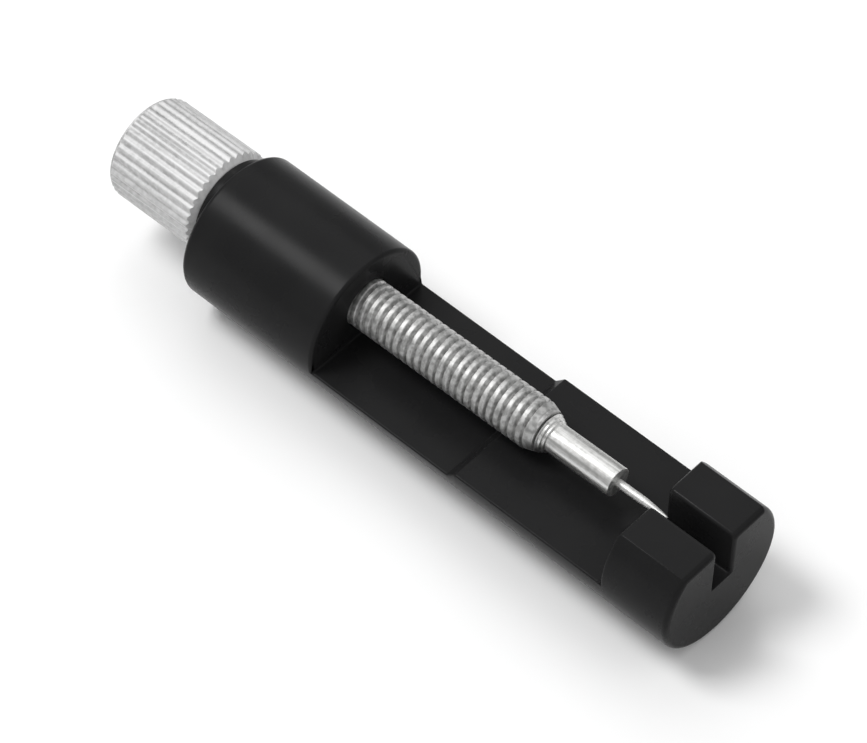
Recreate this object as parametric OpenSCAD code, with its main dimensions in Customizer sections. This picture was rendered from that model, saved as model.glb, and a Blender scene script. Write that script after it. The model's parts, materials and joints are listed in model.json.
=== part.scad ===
// Screw-type spring bar tool.
// A half-round bed with a threaded head at one end and two jaws at the other. A knurled thumbscrew
// runs through the head and pushes a thin drive pin into the slot between the jaws.
// X runs along the tool from the knob to the jaws, and Z is up. The origin is under the middle of
// the tool, at the height of its underside.

/* [Body] */
// Diameter of the round stock that the body is shaped from
body_d = 12; // [11.5:0.1:13]
// Length of the body from the head's rear face to the end of the jaws
body_l = 47.4; // [46.6:0.2:60]
// Length of the full-round head
head_l = 13.3; // [11:0.1:14]
// Depth of the bed below the body's axis, beside the head
bed_drop = 1; // [0.8:0.1:1.6]
// Height of the step up in the bed
step_h = 0.8; // [0.2:0.1:0.8]
// Distance from the head's front face to the foot of the step
step_from_head = 13.4; // [12:0.1:20]
// Length of each jaw
jaw_l = 6.1; // [4:0.1:6.2]
// Height of the jaws' flat tops above the body's axis
jaw_top = 4.2; // [3.8:0.1:4.6]
// Width of the slot between the jaws
slot_w = 1.95; // [1.6:0.05:3]
// Diameter of the boss behind the head, which the knob comes up against
boss_d = 8; // [6:0.1:8]
// Length of the boss
boss_l = 0.55; // [0.4:0.05:2]
// Rounding of the body's round edges
edge_r = 0.4; // [0.1:0.05:0.6]

/* [Screw] */
// Height of the screw's axis above the body's axis, at the head's rear face
screw_h = 1.7; // [1.5:0.1:1.9]
// Angle at which the screw's axis rises towards the jaws
screw_rise = 1; // [0.5:0.1:1.2]
// Major diameter of the screw thread
thread_d = 4; // [3:0.5:4]
// Radial clearance of the thread in the head
thread_gap = 0.05; // [0.02:0.01:0.1]
// Distance from the head's front face to the end of the full thread
thread_out = 16.6; // [12:0.1:18]
// Length of the chamfered nose ahead of the thread
nose_l = 1; // [0.6:0.1:1.4]
// Diameter at the front of the nose
nose_d = 3.36; // [2.8:0.02:3.6]
// Depth of the socket that holds the pin holder's tail
socket_l = 5; // [3:0.5:8]
// Diameter of the socket
socket_d = 2.4; // [2:0.1:2.6]
// Diameter of the stub inside the knob
stub_d = 3; // [2:0.1:3.2]
// Length of the stub
stub_l = 6; // [4:0.5:6.5]

/* [Knob] */
// Outer diameter of the knob
knob_d = 8.6; // [8:0.1:9.5]
// Length of the knob
knob_l = 8.7; // [7.5:0.1:10]
// Number of knurl grooves
knurl_count = 36; // [24:1:40]
// Width of each knurl groove
knurl_w = 0.38; // [0.2:0.02:0.4]
// Chamfer at the outer end of the knob, cut through the ribs
rear_chamfer = 0.25; // [0.25:0.05:0.6]
// Chamfer at the body end of the knob, cut through the ribs
front_chamfer = 0.5; // [0.25:0.05:0.6]
// Gap between the knob and the boss with the screw right in
knob_gap = 0.1; // [0.05:0.05:0.5]

/* [Pin holder and pin] */
// Length of the holder's cone
cone_l = 1; // [0.6:0.1:1.5]
// Diameter of the cone at its base
cone_d = 3.2; // [2.6:0.1:3.3]
// Diameter of the holder's shank
shank_d = 2.36; // [1.8:0.02:2.5]
// Length of the holder's shank
shank_l = 5.7; // [4:0.1:6]
// Depth of the bore that the drive pin sits in
pin_bore_l = 4.5; // [3:0.5:5]
// Diameter of the drive pin
pin_d = 0.65; // [0.5:0.05:1]
// Radial clearance of the drive pin in its bore
pin_gap = 0.03; // [0.02:0.01:0.06]
// Length of the drive pin's plain stretch ahead of the holder
pin_plain_l = 2.4; // [1.5:0.1:3]
// Length of the drive pin's taper
pin_taper_l = 2.2; // [1:0.1:2.4]
// Diameter of the drive pin's blunt tip
pin_tip_d = 0.26; // [0.2:0.02:0.4]

/* [Hidden] */
$fn = 96;
// How far a cutting tool runs past the surface that it opens
past = 1;
body_r = body_d / 2;
// Places along X, counted from the head's rear face
jaw_x = body_l - jaw_l;
step_x = head_l + step_from_head;
thread_end = head_l + thread_out;
nose_end = thread_end + nose_l;
cone_end = nose_end + cone_l;
shank_end = cone_end + shank_l;
knob_front = -boss_l - knob_gap;
knob_rear = knob_front - knob_l;
// Heights above the body's axis
bed_z = -bed_drop;
upper_bed_z = bed_z + step_h;
// Small lead-in at each end of the threaded bore, and on the edges of turned pieces
lead_in = 0.25;
turned_edge = 0.08;
// Depth of the fine rings turned in the holder's cone
ring_depth = 0.05;
ring_count = 3;
// The knob's grooves are round-bottomed, and their centres lie a little outside its surface
knurl_r = knurl_w / 2;
knurl_out = 0.02;
// Air left behind the drive pin in its bore
pin_back_gap = 0.05;
// Where the head's rear face lies, so that the whole tool is centred on X. The knob's rear face leans
// with the screw, so its upper edge is its rearmost point.
knob_back_x = knob_rear * cos(screw_rise) - (knob_d / 2 - rear_chamfer) * sin(screw_rise);
head_x = -(body_l + knob_back_x) / 2;

// Puts a piece that was drawn from the head's rear face and the body's axis in its place
module in_place() {
    translate([head_x, 0, body_r]) children();
}

// Lays a piece that was drawn around Z along the screw's axis, x ahead of the head's rear face
module on_screw(x) {
    translate([0, 0, screw_h]) rotate([0, -screw_rise, 0]) translate([x, 0, 0]) rotate([0, 90, 0])
        children();
}

// A round bar with rounded ends, standing on Z = 0
module round_bar(r, l, edge) {
    rotate_extrude() {
        square([r - edge, l]);
        translate([0, edge]) square([r, l - 2 * edge]);
        translate([r - edge, edge]) circle(r = edge);
        translate([r - edge, l - edge]) circle(r = edge);
    }
}

// A cone or cylinder standing on Z = z
module turned(z, l, r1, r2) {
    translate([0, 0, z]) cylinder(h = l, r1 = r1, r2 = r2);
}

// What is left of the round stock beyond the head, seen from the side
module bed_side() {
    polygon([
        [head_l / 2, -body_r - past],
        [body_l + past, -body_r - past],
        [body_l + past, jaw_top],
        [jaw_x, jaw_top],
        [jaw_x, upper_bed_z],
        [step_x + step_h, upper_bed_z],
        [step_x, bed_z],
        [head_l / 2, bed_z]
    ]);
}

module bed() {
    intersection() {
        rotate([0, 90, 0]) round_bar(body_r, body_l, edge_r);
        translate([0, body_r + past, 0]) rotate([90, 0, 0])
            linear_extrude(height = body_d + 2 * past) bed_side();
    }
}

module head() {
    rotate([0, 90, 0]) round_bar(body_r, head_l, edge_r);
}

module boss() {
    on_screw(-boss_l) turned(0, boss_l + past, boss_d / 2, boss_d / 2);
}

module jaw_slot() {
    translate([jaw_x - past, -slot_w / 2, upper_bed_z])
        cube([jaw_l + 2 * past, slot_w, body_d]);
}

module screw_bore() {
    bore_r = thread_d / 2 + thread_gap;
    on_screw(-boss_l) {
        turned(-past, boss_l + head_l + 2 * past, bore_r, bore_r);
        turned(0, lead_in, bore_r + lead_in, bore_r);
        turned(boss_l + head_l - lead_in, lead_in, bore_r, bore_r + lead_in);
    }
}

module body() {
    color([0.11, 0.11, 0.115]) in_place() difference() {
        union() {
            head();
            bed();
            boss();
        }
        jaw_slot();
        screw_bore();
    }
}

module lead_screw() {
    thread_r = thread_d / 2;
    color([0.66, 0.65, 0.63]) in_place() difference() {
        union() {
            on_screw(knob_front) turned(0, thread_end - knob_front, thread_r, thread_r);
            on_screw(thread_end) turned(0, nose_l, thread_r, nose_d / 2);
            on_screw(knob_front - stub_l) turned(0, stub_l + past, stub_d / 2, stub_d / 2);
        }
        on_screw(nose_end - socket_l) turned(0, socket_l + past, socket_d / 2, socket_d / 2);
    }
}

module knurl_groove() {
    translate([knob_d / 2 + knurl_out, 0, -past]) cylinder(h = knob_l + 2 * past, r = knurl_r);
}

module knob_blank() {
    r = knob_d / 2;
    rotate_extrude() polygon([
        [0, 0],
        [r - rear_chamfer, 0],
        [r, rear_chamfer],
        [r, knob_l - front_chamfer],
        [r - front_chamfer, knob_l],
        [0, knob_l]
    ]);
}

module thumb_knob() {
    color([0.88, 0.88, 0.88]) in_place() on_screw(knob_rear) difference() {
        knob_blank();
        translate([0, 0, knob_l - stub_l]) cylinder(h = stub_l + past, r = stub_d / 2);
        for (i = [0 : knurl_count - 1]) rotate([0, 0, i * 360 / knurl_count]) knurl_groove();
    }
}

module pin_holder() {
    shank_r = shank_d / 2;
    ring_step = cone_l / (ring_count + 1);
    color([0.70, 0.70, 0.69]) in_place() difference() {
        union() {
            on_screw(nose_end - socket_l) turned(0, socket_l + past / 2, socket_d / 2, socket_d / 2);
            on_screw(nose_end) turned(0, cone_l, cone_d / 2, shank_r);
            on_screw(cone_end) turned(0, shank_l - turned_edge, shank_r, shank_r);
            on_screw(shank_end - turned_edge) turned(0, turned_edge, shank_r, shank_r - turned_edge);
        }
        for (i = [1 : ring_count]) {
            ring_r = cone_d / 2 + (shank_r - cone_d / 2) * i / (ring_count + 1);
            on_screw(nose_end + i * ring_step) rotate_extrude()
                translate([ring_r + ring_depth / 2, 0]) circle(r = ring_depth, $fn = 16);
        }
        on_screw(shank_end - pin_bore_l)
            turned(0, pin_bore_l + past, pin_d / 2 + pin_gap, pin_d / 2 + pin_gap);
    }
}

module drive_pin() {
    stem_l = pin_bore_l - pin_back_gap + pin_plain_l;
    color([0.80, 0.80, 0.79]) in_place() on_screw(shank_end + pin_plain_l - stem_l) {
        turned(0, stem_l, pin_d / 2, pin_d / 2);
        turned(stem_l, pin_taper_l, pin_d / 2, pin_tip_d / 2);
    }
}

body();
lead_screw();
thumb_knob();
pin_holder();
drive_pin();
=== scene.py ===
"""Looks for the screw-type spring bar tool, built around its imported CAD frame.

Everything is in metres in the row frame: X runs along the tool from the knob to the jaws, Z is up.
"""
import json
import math

import bmesh
import bpy
from mathutils import Matrix, Vector


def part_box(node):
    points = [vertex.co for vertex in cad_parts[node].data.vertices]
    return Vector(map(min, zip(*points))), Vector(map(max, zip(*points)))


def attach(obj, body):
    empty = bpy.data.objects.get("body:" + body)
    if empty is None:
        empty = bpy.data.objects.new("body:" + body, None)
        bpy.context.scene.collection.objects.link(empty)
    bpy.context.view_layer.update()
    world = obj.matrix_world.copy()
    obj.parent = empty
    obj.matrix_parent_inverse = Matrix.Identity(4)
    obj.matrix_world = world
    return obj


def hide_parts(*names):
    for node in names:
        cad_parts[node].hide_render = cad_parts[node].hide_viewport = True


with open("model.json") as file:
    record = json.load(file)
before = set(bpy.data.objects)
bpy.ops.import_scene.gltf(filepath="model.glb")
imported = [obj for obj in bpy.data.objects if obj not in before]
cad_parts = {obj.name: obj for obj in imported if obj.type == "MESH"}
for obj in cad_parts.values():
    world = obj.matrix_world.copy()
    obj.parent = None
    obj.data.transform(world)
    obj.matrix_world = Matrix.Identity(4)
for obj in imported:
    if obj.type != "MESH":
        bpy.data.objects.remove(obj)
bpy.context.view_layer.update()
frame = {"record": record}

MM = 0.001


def width(node):
    low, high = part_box(node)
    return high[1] - low[1]


# The screw's axis rises a little towards the jaws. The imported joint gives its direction, and the
# point where it crosses the head's rear face.
JOINTS = frame["record"]["behaviour"]["joints"]
SCREW_TURN = next(joint for joint in JOINTS if joint["name"] == "screw_turn")
SCREW_AT = Vector(SCREW_TURN["pos_m"])
SCREW_ALONG = Vector(SCREW_TURN["axis"]).normalized()
SCREW_FRAME = Matrix.Translation(SCREW_AT) @ SCREW_ALONG.to_track_quat("X", "Z").to_matrix().to_4x4()

BODY_R = width("body") / 2
BODY_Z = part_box("body")[0][2] + BODY_R

# The body's sizes. Heights are measured from its own axis.
BOSS_L = 0.55 * MM
BOSS_R = 4.0 * MM
BOSS_EDGE_R = 0.12 * MM
HEAD_L = 13.3 * MM
JAW_L = 6.1 * MM
JAW_TOP = 4.2 * MM
BED = -1.0 * MM
STEP_H = 0.8 * MM
UPPER_BED = BED + STEP_H
STEP_FROM_HEAD = 13.4 * MM
SLOT_HALF = 0.95 * MM
HEAD_X = SCREW_AT.x
FACE_X = HEAD_X + HEAD_L
STEP_X = FACE_X + STEP_FROM_HEAD
END_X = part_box("body")[1][0]
JAW_X = END_X - JAW_L

# Roundings of the moulding
REAR_RIM_R = 0.4 * MM
FACE_RIM_R = 0.3 * MM
END_RIM_R = 0.45 * MM
EDGE_R = 0.14 * MM
FACE_FOOT_R = 0.18 * MM
STEP_R = 0.3 * MM
JAW_FOOT_R = 0.4 * MM
JAW_REAR_R = 0.4 * MM
SLOT_R = 0.3 * MM
SLOT_FOOT_R = 0.15 * MM

# The screw line. Its places are distances along the screw's axis from the head's rear face.
PITCH = 0.7 * MM
THREAD_R = width("lead_screw") / 2
THREAD_DEPTH = 0.26 * MM
# Share of the way from a crest to a root that the crest's flat takes up
CREST_SHARE = 0.48
TAPPED_GAP = 0.05 * MM
LEAD_IN_R = 2.12 * MM
KNOB_FRONT = -BOSS_L - 0.1 * MM
KNOB_REAR = KNOB_FRONT - 8.7 * MM
STUB_REAR = KNOB_FRONT - 6.0 * MM
THREAD_END = HEAD_L + 16.6 * MM
NOSE_END = THREAD_END + 1.0 * MM
CONE_END = NOSE_END + 1.0 * MM
SHANK_END = CONE_END + 5.7 * MM
TAPER_START = SHANK_END + 2.4 * MM
PIN_TIP = TAPER_START + 2.2 * MM
SOCKET_REAR = NOSE_END - 5.0 * MM
PIN_BORE_REAR = SHANK_END - 4.5 * MM
PIN_REAR = PIN_BORE_REAR + 0.05 * MM
NOSE_R = 1.68 * MM
SOCKET_R = 1.2 * MM
STUB_R = 1.5 * MM
CONE_R = 1.6 * MM
SHANK_R = 1.18 * MM
PIN_R = width("drive_pin") / 2
PIN_BORE_R = PIN_R + 0.03 * MM
PIN_TIP_R = 0.13 * MM
KNOB_R = width("thumb_knob") / 2
RIB_COUNT = 36
RIB_H = 0.15 * MM
# Above 1, it makes the knob's ribs wider than its valleys
RIB_POWER = 1.2
REAR_CHAMFER = 0.25 * MM
COLLAR_L = 0.2 * MM
FRONT_CHAMFER = 0.5 * MM

TINY = 1e-6


# ---------------------------------------------------------------- mesh tools

def new_object(name, mesh):
    obj = bpy.data.objects.new(name, mesh)
    bpy.context.scene.collection.objects.link(obj)
    return obj


def mesh_from(name, verts, faces, sharp_deg=40):
    """A welded mesh object, smooth apart from edges sharper than sharp_deg."""
    mesh = bpy.data.meshes.new(name)
    mesh.from_pydata(verts, [], faces)
    weld(mesh)
    smooth(mesh, sharp_deg)
    return new_object(name, mesh)


def weld(mesh):
    bm = bmesh.new()
    bm.from_mesh(mesh)
    bmesh.ops.remove_doubles(bm, verts=bm.verts, dist=TINY)
    bmesh.ops.dissolve_degenerate(bm, edges=bm.edges, dist=TINY)
    bmesh.ops.recalc_face_normals(bm, faces=bm.faces)
    bm.to_mesh(mesh)
    bm.free()


def smooth(mesh, sharp_deg):
    for polygon in mesh.polygons:
        polygon.use_smooth = True
    mesh.set_sharp_from_angle(angle=math.radians(sharp_deg))


def around(x, r, angle):
    """A point around the screw's axis."""
    return SCREW_FRAME @ Vector((x, r * math.cos(angle), r * math.sin(angle)))


def lathe(name, outline, sides=96, sharp_deg=40):
    """A closed solid turned about the screw's axis. outline is a list of (x, r) from end to end."""
    verts, faces = [], []
    for x, r in outline:
        verts += [around(x, r, 2 * math.pi * i / sides) for i in range(sides)]
    for k in range(len(outline) - 1):
        faces += ring_faces(k * sides, (k + 1) * sides, sides)
    faces.append(list(range(sides)))
    faces.append(list(range((len(outline) - 1) * sides, len(outline) * sides)))
    return mesh_from(name, verts, faces, sharp_deg)


def ring_faces(a, b, sides):
    """Quads between two rings of vertices that start at a and b."""
    return [[a + i, a + (i + 1) % sides, b + (i + 1) % sides, b + i] for i in range(sides)]


def arc(cu, cv, radius, start_deg, end_deg, steps=6):
    """Points of an arc in a plane, both ends included."""
    angles = [math.radians(start_deg + (end_deg - start_deg) * k / steps) for k in range(steps + 1)]
    return [(cu + radius * math.cos(a), cv + radius * math.sin(a)) for a in angles]


def wave(angle):
    """A smooth wave that is 0 at each full turn and 1 halfway."""
    return 0.5 - 0.5 * math.cos(angle)


def line(start, end, steps):
    """Points along a straight stretch, without its first one."""
    return [(start[0] + (end[0] - start[0]) * k / steps, start[1] + (end[1] - start[1]) * k / steps)
            for k in range(1, steps + 1)]


def rounded_path(corners, steps=5):
    """Points along straight stretches with rounded corners. corners is a list of (u, v, radius)."""
    points = [corners[0][:2]]
    for before, corner, after in zip(corners, corners[1:], corners[2:]):
        tip = Vector(corner[:2])
        back = (Vector(before[:2]) - tip).normalized()
        ahead = (Vector(after[:2]) - tip).normalized()
        half = back.angle(ahead) / 2
        centre = tip + (back + ahead).normalized() * corner[2] / math.sin(half)
        start = tip + back * corner[2] / math.tan(half) - centre
        bend = math.copysign(math.pi - 2 * half, start.x * back.y - start.y * back.x)
        for k in range(steps + 1):
            angle = math.atan2(start.y, start.x) - bend * k / steps
            u = centre.x + corner[2] * math.cos(angle)
            v = centre.y + corner[2] * math.sin(angle)
            points.append((u, v))
    return points + [corners[-1][:2]]


def add_weighted_normals(obj):
    modifier = obj.modifiers.new("normals", "WEIGHTED_NORMAL")
    modifier.weight = 50
    modifier.keep_sharp = True


def apply_modifiers(obj):
    depsgraph = bpy.context.evaluated_depsgraph_get()
    mesh = bpy.data.meshes.new_from_object(obj.evaluated_get(depsgraph))
    obj.modifiers.clear()
    obj.data = mesh


def combine(obj, other, operation):
    """Boolean of obj with other, which is used up."""
    modifier = obj.modifiers.new("bool", "BOOLEAN")
    modifier.operation = operation
    modifier.solver = "EXACT"
    modifier.object = other
    apply_modifiers(obj)
    bpy.data.objects.remove(other)


# ---------------------------------------------------------------- the body

# How many segments each stretch of half a section has, going up from its lowest point
UNDER, SIDE, EDGE, TOP, SLOT_EDGE, WALL, FOOT, FLOOR = 24, 18, 4, 6, 5, 4, 4, 3


def edge_rounding(r, top):
    """Centre of the rounding between the round side and a flat top, and the angle where it starts."""
    z = top - EDGE_R
    y = math.sqrt((r - EDGE_R) ** 2 - z * z)
    return y, z, math.degrees(math.atan2(z, y))


def cut_section(r, side_r, top, floor, slot):
    """Half a section of the bed or the jaws. side_r is the radius of the stretch beside the jaw."""
    low = edge_rounding(r, floor)[2]
    y, z, high = edge_rounding(side_r, top)
    lip = min(SLOT_R, (top - floor) / 2)
    foot = min(SLOT_FOOT_R, (top - floor) / 2)
    points = arc(0, 0, r, -90, low, UNDER)
    points += arc(0, 0, side_r, low, high, SIDE)
    points += arc(y, z, EDGE_R, high, 90, EDGE)[1:]
    points += line((y, top), (slot + lip, top), TOP)
    points += arc(slot + lip, top - lip, lip, 90, 180, SLOT_EDGE)[1:]
    points += line((slot, top - lip), (slot, floor + foot), WALL)
    points += arc(slot - foot, floor + foot, foot, 0, -90, FOOT)[1:]
    return points + line((slot - foot, floor), (0, floor), FLOOR)


def head_section(r, top_r):
    """Half a section of the full-round head. top_r is its radius above the level of the bed."""
    low = edge_rounding(BODY_R, BED)[2]
    high = edge_rounding(BODY_R, JAW_TOP)[2]
    points = arc(0, 0, r, -90, low, UNDER)
    points += arc(0, 0, top_r, low, high, SIDE)
    return points + arc(0, 0, top_r, high, 90, EDGE + TOP + SLOT_EDGE + WALL + FOOT + FLOOR)[1:]


def fillet(radius, distance):
    """How far a rounded edge falls short at a distance from the face that it rounds into."""
    gap = max(radius - distance, 0)
    return radius - math.sqrt(radius * radius - gap * gap)


def bed_stations():
    """The sections ahead of the head's front face, following the bed and the jaws from the side."""
    side = rounded_path([
        (FACE_X, BED + FACE_FOOT_R), (FACE_X, BED, FACE_FOOT_R), (STEP_X, BED, STEP_R),
        (STEP_X + STEP_H, UPPER_BED, STEP_R), (JAW_X, UPPER_BED, JAW_FOOT_R),
        (JAW_X, JAW_TOP, JAW_REAR_R), (END_X, JAW_TOP, END_RIM_R), (END_X, JAW_TOP - END_RIM_R),
    ])
    for x, top in side:
        r = BODY_R - fillet(END_RIM_R, END_X - x)
        floor = min(top, UPPER_BED)
        rise = min(max((top - UPPER_BED) / JAW_FOOT_R, 0), 1)
        side_r = r - rise * fillet(EDGE_R, max(x - JAW_X, 0))
        slot = SLOT_HALF + fillet(SLOT_R, max(x - JAW_X, 0)) + fillet(SLOT_R, END_X - x)
        yield x, cut_section(r, side_r, top, floor, slot)


def body_stations():
    for x, r in arc(HEAD_X + REAR_RIM_R, BODY_R - REAR_RIM_R, REAR_RIM_R, 180, 90):
        yield x, head_section(r, r)
    for x, r in arc(FACE_X - FACE_RIM_R, BODY_R - FACE_RIM_R, FACE_RIM_R, 90, 0):
        yield x, head_section(BODY_R, r)
    yield from bed_stations()


def body_blank():
    """The moulding without its boss and bore, as a skin over its sections along X."""
    verts, faces = [], []
    for k, (x, half) in enumerate(body_stations()):
        ring = half + [(-y, z) for y, z in reversed(half[1:-1])]
        verts += [(x, y, BODY_Z + z) for y, z in ring]
        if k:
            faces += ring_faces((k - 1) * len(ring), k * len(ring), len(ring))
    faces += [list(range(len(ring))), list(range(len(verts) - len(ring), len(verts)))]
    return mesh_from("moulded_body", verts, faces)


def add_boss(body):
    inside = 1.0 * MM
    outline = [(-BOSS_L, 0)] + arc(BOSS_EDGE_R - BOSS_L, BOSS_R - BOSS_EDGE_R, BOSS_EDGE_R, 180, 90, 4)
    outline += [(inside, BOSS_R), (inside, 0)]
    combine(body, lathe("boss", outline, sides=128), "UNION")


def tap_bore(body):
    """Cuts the threaded bore, in step with the screw, and a countersink at each end."""

    def radius(x, angle):
        thread = thread_radius(x, angle) + TAPPED_GAP
        return max(thread, LEAD_IN_R - (x + BOSS_L), LEAD_IN_R - (HEAD_L - x))

    past = 0.4 * MM
    verts, faces, ends = helical_skin(-BOSS_L - past, HEAD_L + past, radius)
    combine(body, mesh_from("tap", verts, faces + ends), "DIFFERENCE")


def make_body():
    body = body_blank()
    add_boss(body)
    tap_bore(body)
    smooth(body.data, sharp_deg=34)
    add_weighted_normals(body)
    return body


# ---------------------------------------------------------------- the screw line

def thread_radius(x, angle):
    """Radius of the right-hand thread, with rounded crests and roots."""
    turns = x / PITCH - angle / (2 * math.pi)
    from_crest = abs((turns + 0.5) % 1 - 0.5) * 2
    slope = max((from_crest - CREST_SHARE) / (1 - CREST_SHARE), 0)
    return THREAD_R - THREAD_DEPTH * slope * slope * (3 - 2 * slope)


def helical_skin(x0, x1, radius, sides=96, per_pitch=14):
    """A closed rod whose mesh rows follow the thread. Gives its vertices, skin faces and end faces."""
    rows = int((x1 - x0) / PITCH * per_pitch) + 2 * per_pitch
    verts, faces = [], []
    for j in range(rows):
        for i in range(sides):
            angle = 2 * math.pi * i / sides
            x = x0 + PITCH * ((j - per_pitch) / per_pitch + i / sides)
            x = min(max(x, x0), x1)
            verts.append(around(x, radius(x, angle), angle))
    for j in range(rows - 1):
        for i in range(sides - 1):
            a = j * sides + i
            faces.append([a, a + 1, a + sides + 1, a + sides])
        a = j * sides + sides - 1
        b = (j + per_pitch) * sides
        if b + sides < len(verts):
            faces.append([a, b, b + sides, a + sides])
    ends = []
    for x in (x0, x1):
        start = len(verts)
        for i in range(sides):
            angle = 2 * math.pi * i / sides
            verts.append(around(x, radius(x, angle), angle))
        ends.append(list(range(start, start + sides)))
    return verts, faces, ends


def make_lead_screw():
    """The spindle, whose thread runs out over its chamfered nose, with its stub and socket."""

    def radius(x, angle):
        past_thread = max(x - THREAD_END, 0) / (NOSE_END - THREAD_END)
        return min(thread_radius(x, angle), THREAD_R - (THREAD_R - NOSE_R) * past_thread)

    verts, faces, ends = helical_skin(KNOB_FRONT, NOSE_END, radius)
    sides = len(ends[0])
    stub = [(KNOB_FRONT, STUB_R), (STUB_REAR, STUB_R)]
    socket = [(NOSE_END, SOCKET_R), (SOCKET_REAR, SOCKET_R)]
    for end, rings in zip(ends, (stub, socket)):
        last = end[0]
        for x, r in rings:
            start = len(verts)
            verts += [around(x, r, 2 * math.pi * i / sides) for i in range(sides)]
            faces += ring_faces(last, start, sides)
            last = start
        faces.append(list(range(last, last + sides)))
    return mesh_from("threaded_spindle", verts, faces, sharp_deg=50)


def make_knob(per_rib=18):
    """A ribbed knob with a plain collar at its rear, and a blind bore for the stub."""
    sides = RIB_COUNT * per_rib
    valley_r = KNOB_R - RIB_H
    rear_r = KNOB_R - REAR_CHAMFER
    front_r = KNOB_R - FRONT_CHAMFER
    ribs_x = KNOB_REAR + COLLAR_L

    def rib(angle):
        return KNOB_R - RIB_H * wave(RIB_COUNT * angle) ** RIB_POWER

    rings = [
        lambda a: (KNOB_REAR, rear_r),
        lambda a: (KNOB_REAR + valley_r - rear_r, valley_r),
        lambda a: (ribs_x, valley_r),
        lambda a: (ribs_x + rib(a) - valley_r, rib(a)),
        lambda a: (KNOB_FRONT - rib(a) + front_r, rib(a)),
        lambda a: (KNOB_FRONT, front_r),
        lambda a: (KNOB_FRONT, STUB_R),
        lambda a: (STUB_REAR, STUB_R),
    ]
    verts, faces = [], []
    for k, ring in enumerate(rings):
        for i in range(sides):
            angle = 2 * math.pi * i / sides
            verts.append(around(*ring(angle), angle))
        if k:
            faces += ring_faces((k - 1) * sides, k * sides, sides)
    faces += [list(range(sides)), list(range(len(verts) - sides, len(verts)))]
    return mesh_from("knurled_knob", verts, faces, sharp_deg=30)


def make_holder():
    """Tail, a cone with fine rings behind a narrow groove, and a plain shank, bored for the pin."""
    edge = 0.06 * MM
    groove_l, groove_r = 0.2 * MM, 1.3 * MM
    cone_x = NOSE_END + groove_l
    outline = [(SOCKET_REAR, 0), (SOCKET_REAR, SOCKET_R), (NOSE_END, SOCKET_R), (NOSE_END, groove_r)]
    rings, per_ring, depth = 3, 12, 0.08 * MM
    for k in range(rings * per_ring):
        t = k / (rings * per_ring)
        dip = depth * wave(2 * math.pi * rings * t)
        outline.append((cone_x + (CONE_END - cone_x) * t, CONE_R + (SHANK_R - CONE_R) * t - dip))
    outline += [(CONE_END, SHANK_R)]
    outline += arc(SHANK_END - edge, SHANK_R - edge, edge, 90, 0, 3)
    outline += [(SHANK_END, PIN_BORE_R), (PIN_BORE_REAR, PIN_BORE_R), (PIN_BORE_REAR, 0)]
    return lathe("turned_holder", outline, sides=96, sharp_deg=34)


def make_pin():
    """A plain stem, a slim taper and a round tip."""
    steps = 12
    taper_power = 1.15
    outline = [(PIN_REAR, 0), (PIN_REAR, PIN_R)]
    for k in range(steps + 1):
        t = k / steps
        x = TAPER_START + (PIN_TIP - PIN_TIP_R - TAPER_START) * t
        outline.append((x, PIN_R + (PIN_TIP_R - PIN_R) * t ** taper_power))
    outline += arc(PIN_TIP - PIN_TIP_R, 0, PIN_TIP_R, 80, 0)
    return lathe("needle", outline, sides=48, sharp_deg=60)


# ---------------------------------------------------------------- materials

def base_material(name, color, metallic, roughness):
    material = bpy.data.materials.new(name)
    material.use_nodes = True
    shader = material.node_tree.nodes["Principled BSDF"]
    shader.inputs["Base Color"].default_value = (*color, 1)
    shader.inputs["Metallic"].default_value = metallic
    shader.inputs["Roughness"].default_value = roughness
    return material, material.node_tree, shader


def noise(tree, scale, detail=3.0, coords=None):
    """Noise in object space, so it keeps its scale in metres and stays with the piece."""
    coords = coords or tree.nodes.new("ShaderNodeTexCoord").outputs["Object"]
    texture = tree.nodes.new("ShaderNodeTexNoise")
    texture.inputs["Scale"].default_value = scale
    texture.inputs["Detail"].default_value = detail
    tree.links.new(coords, texture.inputs["Vector"])
    return texture.outputs["Fac"]


def vector_math(tree, operation, first, second=None):
    """A Vector Math node. first is a socket, and second a fixed vector."""
    node = tree.nodes.new("ShaderNodeVectorMath")
    node.operation = operation
    tree.links.new(first, node.inputs[0])
    if second is not None:
        node.inputs[1].default_value = second
    return node


def lathe_place(tree):
    """Coordinates that don't change around the screw's axis, for the fine rings that turning leaves."""
    coords = tree.nodes.new("ShaderNodeTexCoord")
    offset = vector_math(tree, "SUBTRACT", coords.outputs["Object"], SCREW_AT).outputs["Vector"]
    along = vector_math(tree, "DOT_PRODUCT", offset, SCREW_ALONG).outputs["Value"]
    sideways = vector_math(tree, "CROSS_PRODUCT", offset, SCREW_ALONG).outputs["Vector"]
    joined = tree.nodes.new("ShaderNodeCombineXYZ")
    tree.links.new(along, joined.inputs["X"])
    tree.links.new(vector_math(tree, "LENGTH", sideways).outputs["Value"], joined.inputs["Y"])
    return joined.outputs["Vector"]


def lengthwise(tree, stretch=0.04):
    """Coordinates that change little along the tool, for streaks that run lengthwise."""
    coords = tree.nodes.new("ShaderNodeTexCoord")
    return vector_math(tree, "MULTIPLY", coords.outputs["Object"], (stretch, 1, 1)).outputs["Vector"]


def ramp_value(tree, value, low, high, start=0.3, end=0.7):
    """value remapped to low..high."""
    node = tree.nodes.new("ShaderNodeMapRange")
    node.inputs["From Min"].default_value = start
    node.inputs["From Max"].default_value = end
    node.inputs["To Min"].default_value = low
    node.inputs["To Max"].default_value = high
    tree.links.new(value, node.inputs["Value"])
    return node.outputs["Result"]


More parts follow.
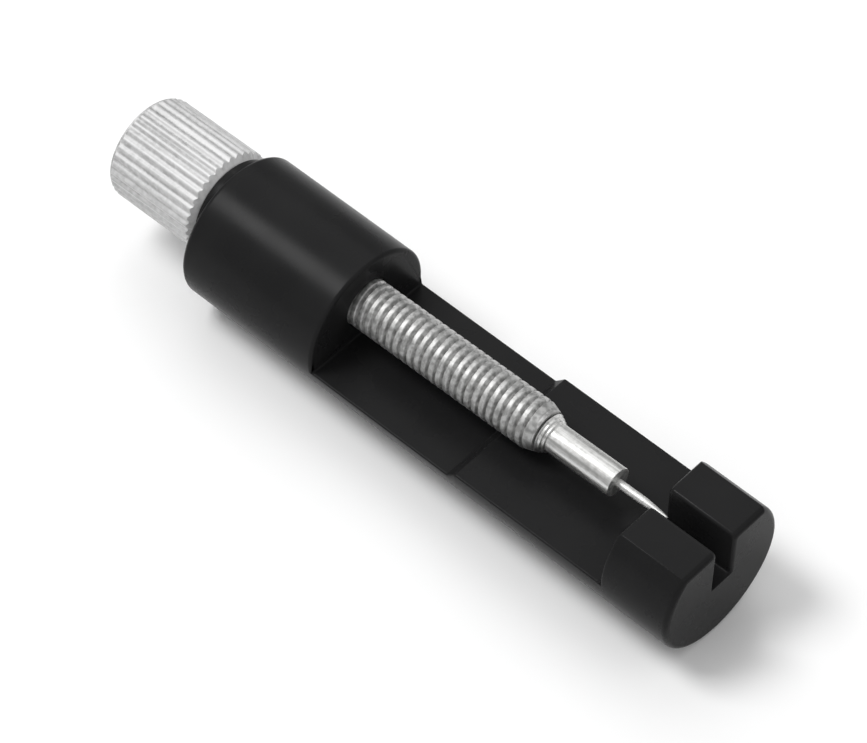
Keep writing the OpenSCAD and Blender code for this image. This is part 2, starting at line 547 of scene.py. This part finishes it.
def ramp_color(tree, value, low, high, start=0.3, end=0.7):
    node = tree.nodes.new("ShaderNodeValToRGB")
    node.color_ramp.elements[0].position = start
    node.color_ramp.elements[0].color = (*low, 1)
    node.color_ramp.elements[1].position = end
    node.color_ramp.elements[1].color = (*high, 1)
    tree.links.new(value, node.inputs["Fac"])
    return node.outputs["Color"]


def wear_edges(tree, color, worn, start=0.53, end=0.6):
    """color, turning to worn on convex edges."""
    geometry = tree.nodes.new("ShaderNodeNewGeometry")
    mix = tree.nodes.new("ShaderNodeMix")
    mix.data_type = "RGBA"
    convex = ramp_value(tree, geometry.outputs["Pointiness"], 0, 1, start, end)
    tree.links.new(convex, mix.inputs["Factor"])
    tree.links.new(color, mix.inputs[6])
    mix.inputs[7].default_value = (*worn, 1)
    return mix.outputs[2]


def add_bump(tree, shader, height, distance):
    bump = tree.nodes.new("ShaderNodeBump")
    bump.inputs["Strength"].default_value = 1.0
    bump.inputs["Distance"].default_value = distance
    tree.links.new(height, bump.inputs["Height"])
    tree.links.new(bump.outputs["Normal"], shader.inputs["Normal"])


def black_plastic():
    material, tree, shader = base_material("black_plastic", (0.0128, 0.0128, 0.0131), 0, 0.3)
    shader.inputs["IOR"].default_value = 1.15
    patch = noise(tree, scale=260, detail=4)
    grain = noise(tree, scale=9000, detail=2)
    color = ramp_color(tree, patch, (0.0118, 0.0118, 0.0121), (0.0138, 0.0138, 0.0141))
    tree.links.new(wear_edges(tree, color, (0.018, 0.018, 0.0183)), shader.inputs["Base Color"])
    tree.links.new(ramp_value(tree, patch, 0.25, 0.31), shader.inputs["Roughness"])
    add_bump(tree, shader, grain, 0.002 * MM)
    return material


def end_faces(tree):
    """1 on faces that are square to the screw's axis, and 0 elsewhere."""
    coords = tree.nodes.new("ShaderNodeTexCoord")
    square = vector_math(tree, "DOT_PRODUCT", coords.outputs["Normal"], SCREW_ALONG).outputs["Value"]
    size = tree.nodes.new("ShaderNodeMath")
    size.operation = "ABSOLUTE"
    tree.links.new(square, size.inputs[0])
    return ramp_value(tree, size.outputs["Value"], 0, 1, start=0.93, end=0.99)


def blend_fields(tree, first, second, factor):
    """A mix of two noise fields: all first where factor is 0, all second where it is 1."""
    mix = tree.nodes.new("ShaderNodeMix")
    mix.inputs["Factor"].default_value = factor
    tree.links.new(first, mix.inputs["A"])
    tree.links.new(second, mix.inputs["B"])
    return mix.outputs["Result"]


def turned_metal(name, low, high, rough, ring_scale, bump, streaks=0.0):
    """Metal with grain, streaks that run lengthwise, and turning rings.

    low and high are the ends of its colour, and rough the ends of its roughness. streaks is the
    share of the colour's variation that runs lengthwise. All metals' end faces are equally rough.
    """
    end_rough = 0.5
    material, tree, shader = base_material(name, high, 1, rough[1])
    patch = noise(tree, scale=2600, detail=5)
    turning = noise(tree, ring_scale, coords=lathe_place(tree))
    grain = noise(tree, scale=12000, detail=2)
    rings = blend_fields(tree, turning, grain, 0.5)
    brighter = 1.12
    worn = tuple(min(1, value * brighter) for value in high)
    drawn = noise(tree, scale=3600, coords=lengthwise(tree))
    tone = blend_fields(tree, patch, drawn, streaks)
    color = wear_edges(tree, ramp_color(tree, tone, low, high, start=0.4, end=0.6), worn)
    tree.links.new(color, shader.inputs["Base Color"])
    roughness = tree.nodes.new("ShaderNodeMix")
    tree.links.new(end_faces(tree), roughness.inputs["Factor"])
    tree.links.new(ramp_value(tree, patch, *rough), roughness.inputs["A"])
    roughness.inputs["B"].default_value = end_rough
    tree.links.new(roughness.outputs["Result"], shader.inputs["Roughness"])
    add_bump(tree, shader, rings, bump)
    return material


def paint(obj, material):
    obj.data.materials.clear()
    obj.data.materials.append(material)


# ---------------------------------------------------------------- stage

def make_floor():
    mesh = bpy.data.meshes.new("floor")
    half = 2.0
    corners = [(-half, -half, 0), (half, -half, 0), (half, half, 0), (-half, half, 0)]
    mesh.from_pydata(corners, [], [[0, 1, 2, 3]])
    floor = new_object("floor", mesh)
    paint(floor, base_material("pale_floor", (0.9, 0.9, 0.9), 0, 0.8)[0])


def area_light(name, direction, distance, size, power):
    """A square light that shines on the tool from a direction."""
    data = bpy.data.lights.new(name, "AREA")
    data.shape = "SQUARE"
    data.size = size
    data.energy = power
    light = bpy.data.objects.new(name, data)
    bpy.context.scene.collection.objects.link(light)
    towards = Vector(direction).normalized()
    light.location = Vector((0, 0, BODY_Z)) + towards * distance
    light.rotation_euler = towards.to_track_quat("Z", "Y").to_euler()


def make_lights():
    """A soft box overhead, three wide dim lamps, and pale studio walls under a paler ceiling."""
    area_light("overhead", (-0.41, -0.28, 0.87), distance=0.6, size=0.22, power=2.1)
    area_light("back_left", (-0.41, 0.46, 0.79), distance=0.7, size=0.5, power=0.75)
    area_light("front_left", (0.75, 0.45, 0.6), distance=0.7, size=0.5, power=0.3)
    area_light("front_right", (0.75, -0.55, 0.5), distance=0.7, size=0.5, power=0.15)
    world = bpy.data.worlds.new("studio")
    world.use_nodes = True
    tree = world.node_tree
    direction = tree.nodes.new("ShaderNodeTexCoord").outputs["Generated"]
    split = tree.nodes.new("ShaderNodeSeparateXYZ")
    tree.links.new(direction, split.inputs["Vector"])
    background = tree.nodes["Background"]
    background.inputs["Color"].default_value = (1, 1, 1, 1)
    wall, ceiling = 0.45, 0.62
    strength = ramp_value(tree, split.outputs["Z"], wall, ceiling, start=0.1, end=0.8)
    tree.links.new(strength, background.inputs["Strength"])
    bpy.context.scene.world = world
    bpy.context.scene.view_settings.view_transform = "Standard"


def make_camera():
    """From the jaw end, over the tool's right side, looking down."""
    azimuth, elevation, roll = math.radians(41.74), math.radians(51.97), math.radians(1.27)
    distance = 287.2 * MM
    target = Vector((1.179 * MM, -0.25 * MM, BODY_Z))
    back = Vector((math.sin(azimuth) * math.cos(elevation), -math.cos(azimuth) * math.cos(elevation),
                   math.sin(elevation)))
    right = Vector((math.cos(azimuth), math.sin(azimuth), 0))
    up = back.cross(right)
    turned_right = right * math.cos(roll) + up * math.sin(roll)
    turned_up = up * math.cos(roll) - right * math.sin(roll)
    data = bpy.data.cameras.new("camera")
    data.sensor_width = 36
    data.lens = 164.1
    data.clip_start = 0.01
    camera = bpy.data.objects.new("camera", data)
    bpy.context.scene.collection.objects.link(camera)
    camera.matrix_world = Matrix.Translation(target + back * distance) @ Matrix(
        (turned_right, turned_up, back)).transposed().to_4x4()
    bpy.context.scene.camera = camera


# ---------------------------------------------------------------- assembly

def place(piece, material, body, node):
    paint(piece, material)
    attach(piece, body)
    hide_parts(node)


make_camera()
make_lights()
make_floor()
nickel_thread = turned_metal("nickel_thread", (0.31, 0.31, 0.305), (0.52, 0.52, 0.515),
                             rough=(0.48, 0.60), ring_scale=5000, bump=0.006 * MM)
satin_knob = turned_metal("satin_knob", (0.43, 0.43, 0.43), (0.64, 0.64, 0.64),
                          rough=(0.62, 0.74), ring_scale=5000, bump=0.006 * MM, streaks=0.4)
nickel_holder = turned_metal("nickel_holder", (0.46, 0.46, 0.45), (0.78, 0.78, 0.77),
                             rough=(0.32, 0.42), ring_scale=5000, bump=0.001 * MM, streaks=0.75)
pin_steel = turned_metal("pin_steel", (0.48, 0.48, 0.47), (0.62, 0.62, 0.61),
                         rough=(0.46, 0.54), ring_scale=7000, bump=0.001 * MM)
place(make_body(), black_plastic(), "frame", "body")
place(make_lead_screw(), nickel_thread, "screw", "lead_screw")
place(make_knob(), satin_knob, "screw", "thumb_knob")
place(make_holder(), nickel_holder, "screw", "pin_holder")
place(make_pin(), pin_steel, "pin", "drive_pin")
